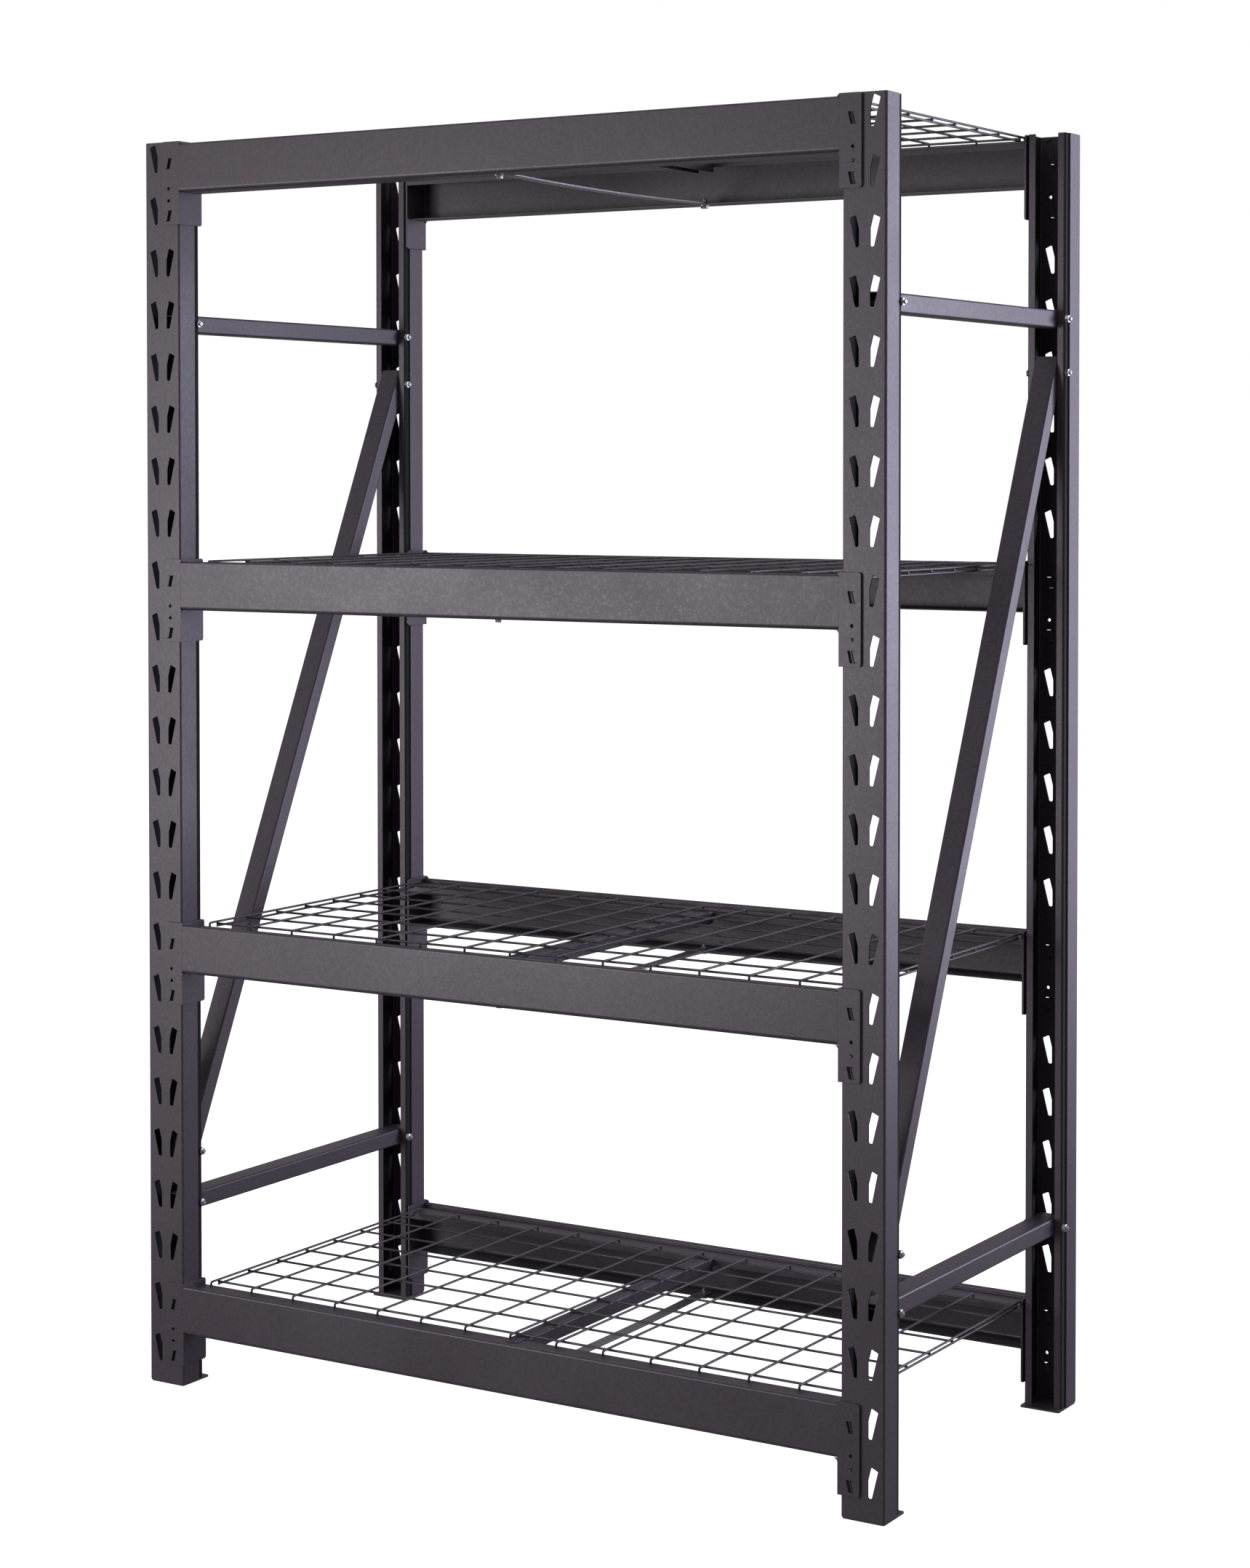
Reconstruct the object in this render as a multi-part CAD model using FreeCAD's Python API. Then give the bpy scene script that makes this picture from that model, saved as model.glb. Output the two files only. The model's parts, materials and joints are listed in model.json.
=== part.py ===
"""Boltless steel shelving unit: four slotted posts in two bolted side frames, four levels of
step beams on hooked connectors, welded wire decks, centre supports and beam ties.

Millimetres. X runs along the shelves, Y from the front to the rear, Z up from the floor.
The origin is on the floor, in the middle of the unit.
"""
import FreeCAD, Part
import math
import os

V = FreeCAD.Vector

# --- Whole unit -----------------------------------------------------------------------------
unit_width = 1219.2           # over the posts
unit_depth = 609.6            # over the outer faces of the posts
unit_height = 1828.8          # floor to post top
fit_gap = 0.3                 # clearance between pieces that hook, rest or slide together

# --- Post: slotted channel, open towards the other post of its side frame -------------------
post_width = 63.0             # across the slotted face
post_depth = 48.0             # slotted face to return lips
post_leg = 10.0               # depth of the flat leg between the step and the lip
post_step = 2.5               # how far the bolted legs stand in from the sides
post_lip = 11.5               # width of each return lip
post_sheet = 1.6
post_bend = 2.4               # bend radius at the middle of the sheet

# --- Slots: two leaning columns, wide at the top --------------------------------------------
slot_pitch = 76.2
slot_height = 41.0
slot_first = 2.9              # post top to the top of the first slot
slot_foot = 8.0               # post web centre to the inner edge of a slot's narrow part
slot_foot_width = 5.4         # width of the narrow end
slot_mouth = 12.5             # post web centre to the inner corner of a slot's wide end
slot_mouth_width = 10.0       # width of the wide end
slot_mouth_drop = 4.5         # how far the outer corner of the wide end sits lower
slot_kink = 17.5              # slot top to the kink in its inner edge
slot_floor_margin = 15.0      # least steel left under the last slot

# --- Foot plate -----------------------------------------------------------------------------
foot_sheet = 2.5
foot_reach = 12.0             # how far it shows past the post's lips
foot_inset = 1.0              # how far it stands in from the post's other faces
foot_corner = 3.0

# --- Shelf levels, counted in slots ---------------------------------------------------------
lower_levels = (15, 8, 1)     # slots up from the lowest one; the top level is in the first slot

# --- Beam connector: hooked angle -----------------------------------------------------------
connector_sheet = 3.0
connector_inner = 2.8         # post web centre to the free edge of the hooked face
connector_tail = 12.8         # middle of the lower lug to the connector's lower end
connector_corner = 4.0
lug_pitch = slot_pitch
lug_first = 32.0              # connector top to the middle of the upper lug
lug_height = 15.0
lug_window = 10.0             # width of the pressed window beside each lug
lug_window_room = 1.0         # how much taller the window is than its lug
lug_root = 10.3               # post web centre to the lug, at its middle
lug_lean = 0.24               # sideways lean per millimetre of height
lug_head_width = 9.4
lug_head_sheet = 3.0
pin_hole = 5.0
pin_hole_first = 36.5         # upper lug to the first small hole
pin_hole_second = 54.2        # upper lug to the second small hole
ear_radius = 5.0              # concave corner under the beam

# --- Step beam ------------------------------------------------------------------------------
beam_height = 71.0
beam_below_connector = 3.5    # connector top to beam top
beam_sheet = 1.5
beam_bend = 2.0
beam_rim = 10.0               # width of the rim along the top
ledge_drop = 6.5              # rim to ledge
ledge_lip = 10.0              # downward lip at the ledge's inner edge
beam_roll = 5.0               # larger bend under the face, at the middle of the sheet
beam_foot = 42.0              # depth of the bottom flange

# --- Wire deck ------------------------------------------------------------------------------
wire = 3.4
weld_sink = 0.3               # how far crossing wires melt into each other
deck_pitch_x = 76.2           # between the wires that run front to rear
deck_pitch_y = 70.4           # between the wires that run side to side
deck_end_room = 8.0           # least room to the connectors at each end
deck_push = 7.0               # how far the loose decks lie to the right of the middle
deck_wire_room = 3.0          # least room between the low wires and the ledges
deck_tail = 1.6               # how far wire ends stand past the last crossing
deck_foot_bearing = 8.0       # ledge edge to the middle of each turned-down wire end
deck_foot_bend = 2.6

# --- Centre support and tie strap under each deck -------------------------------------------
support_width = 27.0
support_height = 19.0
support_sheet = 1.2
support_bend = 2.0
support_tab = 22.0
support_tab_width = 18.0
strap_width = 19.0
strap_sheet = 2.0
strap_sag = 4.0
strap_end = 10.0              # bolt to the strap's end
strap_run_out = 4.0           # flat part past the bottom flange
tie_bolt = 5.0
tie_bolt_inset = 29.3         # beam face to the bolt
tie_head_width = 10.0
tie_head_height = 5.0
tie_washer = 16.0             # diameter of the head's flange
tie_washer_height = 1.2
tie_nut_width = 8.0
tie_nut_height = 4.0
tie_bolt_end = 3.0            # thread showing past the nut

# --- Side frame bracing ---------------------------------------------------------------------
brace_room = 0.5              # from each side of a brace to the post lips
brace_height = 25.4
brace_sheet = 1.4
brace_corner = 3.0
brace_from_end = 264.4        # post end to the nearest brace bolt
brace_bolt_pitch = 76.2       # level brace bolt to diagonal brace bolt
brace_past_bolt = 20.0
bolt = 6.0
bolt_hole_room = 0.5          # how much wider the holes are
bolt_head_width = 10.0        # round, low head
bolt_head_height = 2.8
nut_width = 10.0
nut_height = 5.2
bolt_end = 3.2                # thread showing past the nut

# --- Places that follow from the sizes above ------------------------------------------------
half_width = unit_width / 2
half_depth = unit_depth / 2
post_x = half_width - post_width / 2
leg_outer = post_width / 2 - post_step
post_side_depth = post_depth - post_leg - post_step
brace_width = 2 * (leg_outer - post_lip - brace_room)
bolt_room = max(bolt_head_width, nut_width) / 2 + post_sheet / 2    # the step to the bolt's middle
bolt_depth = post_side_depth + post_step + bolt_room
bolt_y = half_depth - bolt_depth
slot_count = int((unit_height - slot_first - slot_height - slot_floor_margin) // slot_pitch) + 1
face_out = connector_sheet + fit_gap          # beam faces stand this far in front of the posts
beam_half = half_width - post_width - face_out
beam_face = half_depth + face_out
ledge_edge = half_depth - post_depth
ledge_depth = post_depth + face_out
connector_side = post_width / 2 + face_out    # post web centre to the side plate's outer face
connector_height = lug_first + lug_pitch + connector_tail
tab_low = support_width / 2 - support_bend - support_tab_width
support_x = deck_push + wire / 2 + fit_gap - tab_low          # its tabs clear the middle wire's feet


def corner_arc(before, here, after, radius):
    """The start, middle and end of the arc that rounds one corner of an outline."""
    back = (before - here).normalize()
    ahead = (after - here).normalize()
    half = back.getAngle(ahead) / 2
    centre = here + (back + ahead).normalize() * (radius / math.sin(half))
    reach = radius / math.tan(half)
    middle = centre + (here - centre).normalize() * radius
    return here + back * reach, middle, here + ahead * reach


def outline_face(points, radii):
    """A flat face in the XY plane with straight sides and the given corner radii."""
    corners = [V(x, y, 0) for x, y in points]
    count = len(corners)
    rounds = []
    for i in range(count):
        here = corners[i]
        if radii[i] > 0:
            rounds.append(corner_arc(corners[i - 1], here, corners[(i + 1) % count], radii[i]))
        else:
            rounds.append((here, None, here))
    edges = []
    for i in range(count):
        start, middle, end = rounds[i]
        if middle is not None:
            edges.append(Part.Arc(start, middle, end).toShape())
        next_start = rounds[(i + 1) % count][0]
        if (next_start - end).Length > 1e-6:
            edges.append(Part.makeLine(end, next_start))
    return Part.Face(Part.Wire(Part.__sortEdges__(edges)))


def offset_line(points, side):
    """A polyline moved sideways, with mitred corners; side is positive to the left."""
    corners = [V(x, y, 0) for x, y in points]
    runs = [(corners[i + 1] - corners[i]).normalize() for i in range(len(corners) - 1)]
    normals = [V(-run.y, run.x, 0) for run in runs]
    moved = [corners[0] + normals[0] * side]
    for i in range(1, len(corners) - 1):
        both = normals[i - 1] + normals[i]
        moved.append(corners[i] + both * (side / (1 + normals[i - 1].dot(normals[i]))))
    moved.append(corners[-1] + normals[-1] * side)
    return [(p.x, p.y) for p in moved]


def turn_sign(before, here, after):
    cross = (here[0] - before[0]) * (after[1] - here[1]) - (here[1] - before[1]) * (after[0] - here[0])
    return 1 if cross > 0 else -1


def bent_sheet(points, sheet, bend, length):
    """A folded sheet, extruded along Z; points run along the middle of the sheet."""
    signs = [turn_sign(points[i - 1], points[i], points[i + 1]) for i in range(1, len(points) - 1)]
    left = [bend - sign * sheet / 2 for sign in signs]
    right = [bend + sign * sheet / 2 for sign in signs]
    outline = offset_line(points, sheet / 2) + offset_line(points, -sheet / 2)[::-1]
    radii = [0] + left + [0, 0] + right[::-1] + [0]
    return outline_face(outline, radii).extrude(V(0, 0, length))


def along_x(shape, start):
    """Turn a section drawn in XY and extruded along Z to lie in YZ and run along X."""
    turned = shape.copy()
    turned.rotate(V(0, 0, 0), V(1, 1, 1), 120)
    turned.translate(V(start, 0, 0))
    return turned


def along_y(shape, start):
    """Turn a section drawn in XY and extruded along Z to lie in XZ and run along -Y."""
    turned = shape.copy()
    turned.rotate(V(0, 0, 0), V(1, 0, 0), 90)
    turned.translate(V(0, start, 0))
    return turned


def rod(start, end, diameter):
    axis = end - start
    return Part.makeCylinder(diameter / 2, axis.Length, start, axis)


def hexagon(start, end, across):
    """A hexagonal prism between two points, with flats the given distance apart."""
    axis = end - start
    radius = across / math.sqrt(3)
    points = [(radius * math.cos(i * math.pi / 3), radius * math.sin(i * math.pi / 3)) for i in range(6)]
    prism = outline_face(points, [0] * 6).extrude(V(0, 0, axis.Length))
    prism.Placement = FreeCAD.Placement(start, FreeCAD.Rotation(V(0, 0, 1), axis))
    return prism


def fused(shapes):
    whole = shapes[0].multiFuse(shapes[1:])
    return whole.removeSplitter()


def moved(shape, x, y, z):
    copy = shape.copy()
    copy.translate(V(x, y, z))
    return copy


def turned_round(shape):
    """The same piece on the opposite corner of the unit."""
    copy = shape.copy()
    copy.rotate(V(0, 0, 0), V(0, 0, 1), 180)
    return copy


def mirrored(shape):
    """The opposite-handed piece, mirrored across the middle of the unit."""
    return shape.mirror(V(0, 0, 0), V(1, 0, 0))


# --- Posts ----------------------------------------------------------------------------------
def slot_cutter(top):
    """One slot of the column on the +X side of the web, at the given height."""
    mouth_outer = slot_mouth + slot_mouth_width
    points = [(slot_mouth, top), (slot_foot, top - slot_kink), (slot_foot, top - slot_height),
              (slot_foot + slot_foot_width, top - slot_height), (mouth_outer, top - slot_mouth_drop)]
    end_radius = slot_foot_width * 0.45
    face = outline_face(points, [1.5, 6.0, end_radius, end_radius, 1.5])
    return along_y(face.extrude(V(0, 0, post_sheet * 3)), post_sheet * 2)


def leg_holes(heights):
    """Cutters for the brace bolts through both legs of a post standing at the origin."""
    reach = V(post_width, 0, 0)
    places = [V(0, bolt_depth, height) for height in heights]
    return [rod(place - reach, place + reach, bolt + bolt_hole_room) for place in places]


def post_blank():
    """The channel of one post, its slotted face on Y = 0 and open towards +Y."""
    half_sheet = post_sheet / 2
    side = post_width / 2 - half_sheet
    leg = side - post_step
    lip = leg_outer - post_lip
    step_end = post_side_depth + post_step
    half = [(leg, post_depth - half_sheet), (leg, step_end), (side, post_side_depth), (side, half_sheet)]
    points = [(lip, post_depth - half_sheet)] + half
    points += [(-x, y) for x, y in half[::-1]] + [(-lip, post_depth - half_sheet)]
    blank = bent_sheet_with_steps(points)
    return moved(blank, 0, 0, foot_sheet)


def bent_sheet_with_steps(points):
    """The post section; the shallow steps take a smaller bend than its corners."""
    sheet = post_sheet
    small = sheet / 2 + 0.2
    bends = [post_bend, small, small, post_bend, post_bend, small, small, post_bend]
    signs = [turn_sign(points[i - 1], points[i], points[i + 1]) for i in range(1, len(points) - 1)]
    left = [bend - sign * sheet / 2 for bend, sign in zip(bends, signs)]
    right = [bend + sign * sheet / 2 for bend, sign in zip(bends, signs)]
    outline = offset_line(points, sheet / 2) + offset_line(points, -sheet / 2)[::-1]
    radii = [0] + left + [0, 0] + right[::-1] + [0]
    return outline_face(outline, radii).extrude(V(0, 0, unit_height - foot_sheet))


def make_post(bolt_heights):
    """A slotted post at its own web centre, drilled for its brace bolts."""
    cutters = []
    for i in range(slot_count):
        right_slot = slot_cutter(unit_height - slot_first - i * slot_pitch)
        cutters += [right_slot, mirrored(right_slot)]
    cutters += leg_holes(bolt_heights)
    return post_blank().cut(Part.makeCompound(cutters))


def make_foot_plate():
    half = post_width / 2 - foot_inset
    reach = post_depth + foot_reach
    points = [(-half, foot_inset), (half, foot_inset), (half, reach), (-half, reach)]
    return outline_face(points, [foot_corner] * 4).extrude(V(0, 0, foot_sheet))


# --- Beam connector -------------------------------------------------------------------------
def leaning_block(inner, width, middle, height, lean):
    """A leaning four-sided face in XY, ready to be turned to stand in XZ."""
    half = height / 2
    points = []
    for up, across in ((-half, 0), (-half, width), (half, width), (half, 0)):
        points.append((inner + across + up * lean, middle + up))
    return outline_face(points, [0.8] * 4)


def lug(middle):
    """One lug: a leaf bent back from the connector's face, with a head behind the post's web."""
    leaf = leaning_block(lug_root, connector_sheet, middle, lug_height, lug_lean)
    leaf_length = fit_gap * 2 + post_sheet + lug_head_sheet
    leaf_solid = along_y(leaf.extrude(V(0, 0, leaf_length)), leaf_length - fit_gap)
    head_inner = lug_root + connector_sheet / 2 - lug_head_width / 2
    head = leaning_block(head_inner, lug_head_width, middle, lug_height, lug_lean)
    head_solid = along_y(head.extrude(V(0, 0, lug_head_sheet)), leaf_length - fit_gap)
    return [leaf_solid, head_solid]


def lug_window_cutter(middle):
    window = leaning_block(lug_root, lug_window, middle, lug_height + lug_window_room, lug_lean)
    return along_y(window.extrude(V(0, 0, connector_sheet * 3)), connector_sheet)


def lug_root_block(middle):
    """The bent root that joins a lug's leaf to the connector's face."""
    root = leaning_block(lug_root, connector_sheet, middle, lug_height, lug_lean)
    return along_y(root.extrude(V(0, 0, connector_sheet)), -fit_gap)


def ear(side_x, beam_top):
    """Small corner pieces where the connector's face meets the beam above and below."""
    bottom = beam_top - beam_height
    corner = [(side_x, bottom), (side_x + ear_radius, bottom), (side_x, bottom - ear_radius)]
    lower = outline_face(corner, [0] * 3)
    bite = Part.makeCylinder(ear_radius, connector_sheet, V(side_x + ear_radius, bottom - ear_radius, 0))
    rise = beam_below_connector
    upper = outline_face([(side_x, beam_top), (side_x + rise, beam_top), (side_x, beam_top + rise)], [0] * 3)
    lower_solid = lower.extrude(V(0, 0, connector_sheet)).cut(bite)
    upper_solid = upper.extrude(V(0, 0, connector_sheet))
    return [along_y(lower_solid, -fit_gap), along_y(upper_solid, -fit_gap)]


def rounded_on(shape, radius, chosen):
    edges = [edge for edge in shape.Edges if chosen(edge)]
    return shape.makeFillet(radius, edges)


def connector_angle():
    """The angle: hooked face in front of the post, side plate along its inner flank."""
    face_y = -fit_gap - connector_sheet
    inner_x = connector_side - connector_sheet
    points = [(connector_inner, face_y), (connector_side, face_y), (connector_side, post_depth),
              (inner_x, post_depth), (inner_x, -fit_gap), (connector_inner, -fit_gap)]
    angle = outline_face(points, [0] * 6).extrude(V(0, 0, connector_height))
    angle.translate(V(0, 0, -connector_height))

    def is_free_corner(edge):
        box, middle = edge.BoundBox, edge.CenterOfMass
        flat = box.ZLength < 0.01 and edge.Length < connector_sheet + 0.01
        on_face_end = box.XLength < 0.01 and abs(middle.x - connector_inner) < 0.01
        on_side_end = box.YLength < 0.01 and abs(middle.y - post_depth) < 0.01
        return flat and (on_face_end or on_side_end)

    return rounded_on(angle, connector_corner, is_free_corner)


def make_connector():
    """The connector of a front-left post: web centre on X = 0, web face on Y = 0, top on Z = 0."""
    angle = connector_angle()
    middles = [-lug_first, -lug_first - lug_pitch]
    cutters = [lug_window_cutter(middle) for middle in middles]
    hole_x = lug_root + lug_window / 2
    for drop in (pin_hole_first, pin_hole_second):
        place = V(hole_x, 0, -lug_first - drop)
        cutters.append(rod(place - V(0, connector_sheet * 2, 0), place, pin_hole))
    pieces = [angle.cut(Part.makeCompound(cutters))]
    for middle in middles:
        pieces += lug(middle) + [lug_root_block(middle)]
    pieces += ear(connector_side, -beam_below_connector)
    return fused(pieces)


# --- Step beam ------------------------------------------------------------------------------
def beam_section():
    """Middle line of the beam's sheet: X is the depth behind its face, Y the height over its top."""
    half = beam_sheet / 2
    bottom = -beam_height + half
    return [(ledge_depth - half, -ledge_drop - ledge_lip), (ledge_depth - half, -ledge_drop - half),
            (beam_rim - half, -ledge_drop - half), (beam_rim - half, -half), (half, -half),
            (half, bottom), (beam_foot, bottom)]


def make_beam():
    """A front beam with its face on Y = 0 and its top on Z = 0."""
    section = beam_section()
    bends = [beam_bend, beam_bend, beam_bend, beam_bend, beam_roll]
    half = beam_sheet / 2
    signs = [turn_sign(section[i - 1], section[i], section[i + 1]) for i in range(1, len(section) - 1)]
    left = [bend - sign * half for bend, sign in zip(bends, signs)]
    right = [bend + sign * half for bend, sign in zip(bends, signs)]
    outline = offset_line(section, half) + offset_line(section, -half)[::-1]
    face = outline_face(outline, [0] + left + [0, 0] + right[::-1] + [0])
    beam = along_x(face.extrude(V(0, 0, beam_half * 2)), -beam_half)
    hole = rod(V(0, tie_bolt_inset, -beam_height - 1), V(0, tie_bolt_inset, -beam_height + 4), tie_bolt + 0.5)
    return beam.cut(hole)


# --- Wire deck ------------------------------------------------------------------------------
def spread(count_of_gaps, pitch):
    """Evenly pitched places about the middle."""
    return [(i - count_of_gaps / 2) * pitch for i in range(count_of_gaps + 1)]


def long_wire(x, level, foot_y, foot_z):
    """A front-to-rear wire with both ends turned down to stand on the ledges."""
    ends = [V(x, -foot_y, foot_z), V(x, -foot_y, level), V(x, foot_y, level), V(x, foot_y, foot_z)]
    first = corner_arc(ends[0], ends[1], ends[2], deck_foot_bend)
    second = corner_arc(ends[1], ends[2], ends[3], deck_foot_bend)
    path = Part.Wire([Part.makeLine(ends[0], first[0]), Part.Arc(*first).toShape(),
                      Part.makeLine(first[2], second[0]), Part.Arc(*second).toShape(),
                      Part.makeLine(second[2], ends[3])])
    profile = Part.Wire(Part.makeCircle(wire / 2, ends[0], V(0, 0, 1)))
    return path.makePipeShell([profile], True, True)


def deck_levels():
    """Heights below the beam top of the cross wires, the long wires and the wire feet."""
    cross = -ledge_drop + support_sheet + fit_gap + wire / 2
    layer = wire - weld_sink
    return cross, cross + layer, cross - layer, -ledge_drop + fit_gap


def make_deck():
    """A welded wire deck, with Z = 0 at the beam top."""
    cross_z, long_z, low_z, foot_z = deck_levels()
    room_x = 2 * (beam_half - deck_end_room - deck_tail)
    room_y = 2 * (ledge_edge - deck_wire_room) - wire
    places_x = spread(int(room_x // deck_pitch_x), deck_pitch_x)
    places_y = spread(int(room_y // deck_pitch_y), deck_pitch_y)
    foot_y = ledge_edge + deck_foot_bearing
    wires = [long_wire(x, long_z, foot_y, foot_z) for x in places_x]
    end_x = places_x[-1] + deck_tail
    wires += [rod(V(-end_x, y, cross_z), V(end_x, y, cross_z), wire) for y in places_y]
    end_y = places_y[-1] + deck_tail
    for x in (places_x[0], places_x[-1]):
        wires.append(rod(V(x, -end_y, low_z), V(x, end_y, low_z), wire))
    return wires[0].multiFuse(wires[1:])


# --- Centre support and tie strap -----------------------------------------------------------
def make_support():
    """A downward channel between the ledges with a tab on each; Z = 0 at the beam top."""
    half = support_sheet / 2
    side = support_width / 2 - half
    points = [(-side, -support_height), (-side, -half), (side, -half), (side, -support_height)]
    reach = ledge_edge - fit_gap
    channel = along_y(bent_sheet(points, support_sheet, support_bend, reach * 2), reach)
    tab = Part.makeBox(support_tab_width, 2 * (reach + support_tab), support_sheet,
                       V(tab_low, -reach - support_tab, -support_sheet))
    whole = fused([channel, tab])
    return moved(whole, support_x, 0, -ledge_drop + support_sheet)


def strap_line(half_flat, half_end, height):
    """One long side of the strap's outline: flat ends and a sagging middle."""
    left, right = V(-half_flat, height, 0), V(half_flat, height, 0)
    return [Part.makeLine(V(-half_end, height, 0), left),
            Part.Arc(left, V(0, height - strap_sag, 0), right).toShape(),
            Part.makeLine(right, V(half_end, height, 0))]


def make_strap():
    """A flat strap on the bottom flanges of both beams; Z = 0 at the beam top."""
    bolt_at = beam_face - tie_bolt_inset
    half_end = bolt_at + strap_end
    half_flat = beam_face - beam_foot - strap_run_out
    low = -beam_height + beam_sheet
    high = low + strap_sheet
    edges = strap_line(half_flat, half_end, low) + strap_line(half_flat, half_end, high)
    edges.append(Part.makeLine(V(-half_end, low, 0), V(-half_end, high, 0)))
    edges.append(Part.makeLine(V(half_end, low, 0), V(half_end, high, 0)))
    face = Part.Face(Part.Wire(Part.__sortEdges__(edges)))
    strap = along_x(face.extrude(V(0, 0, strap_width)), -strap_width / 2)
    holes = [rod(V(0, y, low - 1), V(0, y, high + 1), tie_bolt + 0.5) for y in (-bolt_at, bolt_at)]
    return strap.cut(Part.makeCompound(holes))


def make_tie_bolt():
    """Flanged bolt up through a beam's bottom flange and the strap; Z = 0 at the beam's underside."""
    top = beam_sheet + strap_sheet + tie_nut_height + tie_bolt_end
    washer = Part.makeCylinder(tie_washer / 2, tie_washer_height, V(0, 0, -tie_washer_height))
    head = hexagon(V(0, 0, -tie_head_height), V(0, 0, -tie_washer_height / 2), tie_head_width)
    return fused([washer, head, rod(V(0, 0, -tie_washer_height / 2), V(0, 0, top), tie_bolt)])


def make_tie_nut():
    low = beam_sheet + strap_sheet
    body = hexagon(V(0, 0, low), V(0, 0, low + tie_nut_height), tie_nut_width)
    return body.cut(rod(V(0, 0, low - 1), V(0, 0, low + tie_nut_height + 1), tie_bolt))


# --- Side frame bracing ---------------------------------------------------------------------
def brace_tube(start, end):
    """A rectangular tube bolted at two points of the YZ plane, drilled across for its bolts."""
    axis = (end - start).normalize()
    length = (end - start).Length + 2 * brace_past_bolt
    half_w, half_h = brace_width / 2, brace_height / 2
    points = [(-half_w, -half_h), (half_w, -half_h), (half_w, half_h), (-half_w, half_h)]
    inner = [(x - math.copysign(brace_sheet, x), y - math.copysign(brace_sheet, y)) for x, y in points]
    outside = outline_face(points, [brace_corner] * 4).extrude(V(0, 0, length))
    inside = outline_face(inner, [brace_corner - brace_sheet] * 4).extrude(V(0, 0, length))
    tube = outside.cut(inside)
    across = V(1, 0, 0)
    turn = FreeCAD.Rotation(across, axis.cross(across), axis, "ZXY")
    tube.Placement = FreeCAD.Placement(start - axis * brace_past_bolt, turn)
    reach = V(brace_width, 0, 0)
    holes = [rod(place - reach, place + reach, bolt + bolt_hole_room) for place in (start, end)]
    return tube.cut(Part.makeCompound(holes))


def brace_heights():
    low = brace_from_end
    high = unit_height - brace_from_end
    return low, low + brace_bolt_pitch, high - brace_bolt_pitch, high


def brace_bolt_places():
    """The middle of each brace bolt of a side frame that stands on X = 0."""
    low, low_diagonal, high_diagonal, high = brace_heights()
    return [V(0, -bolt_y, low), V(0, bolt_y, low), V(0, -bolt_y, low_diagonal),
            V(0, bolt_y, high_diagonal), V(0, -bolt_y, high), V(0, bolt_y, high)]


def make_brace_bolt():
    """Bolt along X, with its low round head outside the leg on the -X side."""
    end = leg_outer + nut_height + bolt_end
    head = rod(V(-leg_outer - bolt_head_height, 0, 0), V(-leg_outer, 0, 0), bolt_head_width)
    rim = [edge for edge in head.Edges if edge.BoundBox.XMax < -leg_outer - bolt_head_height + 0.01]
    return fused([head.makeFillet(bolt_head_height * 0.6, rim), rod(V(-leg_outer - 1, 0, 0), V(end, 0, 0), bolt)])


def make_brace_nut():
    low, top = leg_outer, leg_outer + nut_height
    body = hexagon(V(low, 0, 0), V(top, 0, 0), nut_width)
    return body.cut(rod(V(low - 1, 0, 0), V(top + 1, 0, 0), bolt))


def at_places(shape, places, x):
    """A group with a copy of the shape at each place of the side frame on the given X."""
    return Part.makeCompound([moved(shape, x + p.x, p.y, p.z) for p in places])


# --- The whole unit -------------------------------------------------------------------------
parts = {}


def add_posts():
    low, low_diagonal, high_diagonal, high = brace_heights()
    front = make_post([low, low_diagonal, high])
    rear = make_post([low, high_diagonal, high])
    plate = make_foot_plate()
    for side, x in (("left", -post_x), ("right", post_x)):
        parts["post_front_" + side] = moved(front, x, -half_depth, 0)
        parts["post_rear_" + side] = moved(turned_round(rear), x, half_depth, 0)
        parts["foot_plate_front_" + side] = moved(plate, x, -half_depth, 0)
        parts["foot_plate_rear_" + side] = moved(turned_round(plate), x, half_depth, 0)


def add_side_frames():
    low, low_diagonal, high_diagonal, high = brace_heights()
    upper = brace_tube(V(0, -bolt_y, high), V(0, bolt_y, high))
    lower = brace_tube(V(0, -bolt_y, low), V(0, bolt_y, low))
    diagonal = brace_tube(V(0, -bolt_y, low_diagonal), V(0, bolt_y, high_diagonal))
    for side, x in (("left", -post_x), ("right", post_x)):
        parts["upper_brace_" + side] = moved(upper, x, 0, 0)
        parts["lower_brace_" + side] = moved(lower, x, 0, 0)
        parts["diagonal_brace_" + side] = moved(diagonal, x, 0, 0)
        parts["brace_bolts_" + side] = at_places(make_brace_bolt(), brace_bolt_places(), x)
        parts["brace_nuts_" + side] = at_places(make_brace_nut(), brace_bolt_places(), x)


def level_heights():
    """The height of the connector tops of each level, the top level first."""
    steps = [slot_count - 1] + list(lower_levels)
    lowest = unit_height - slot_pitch * (slot_count - 1)
    return [lowest + step * slot_pitch for step in steps]


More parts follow.
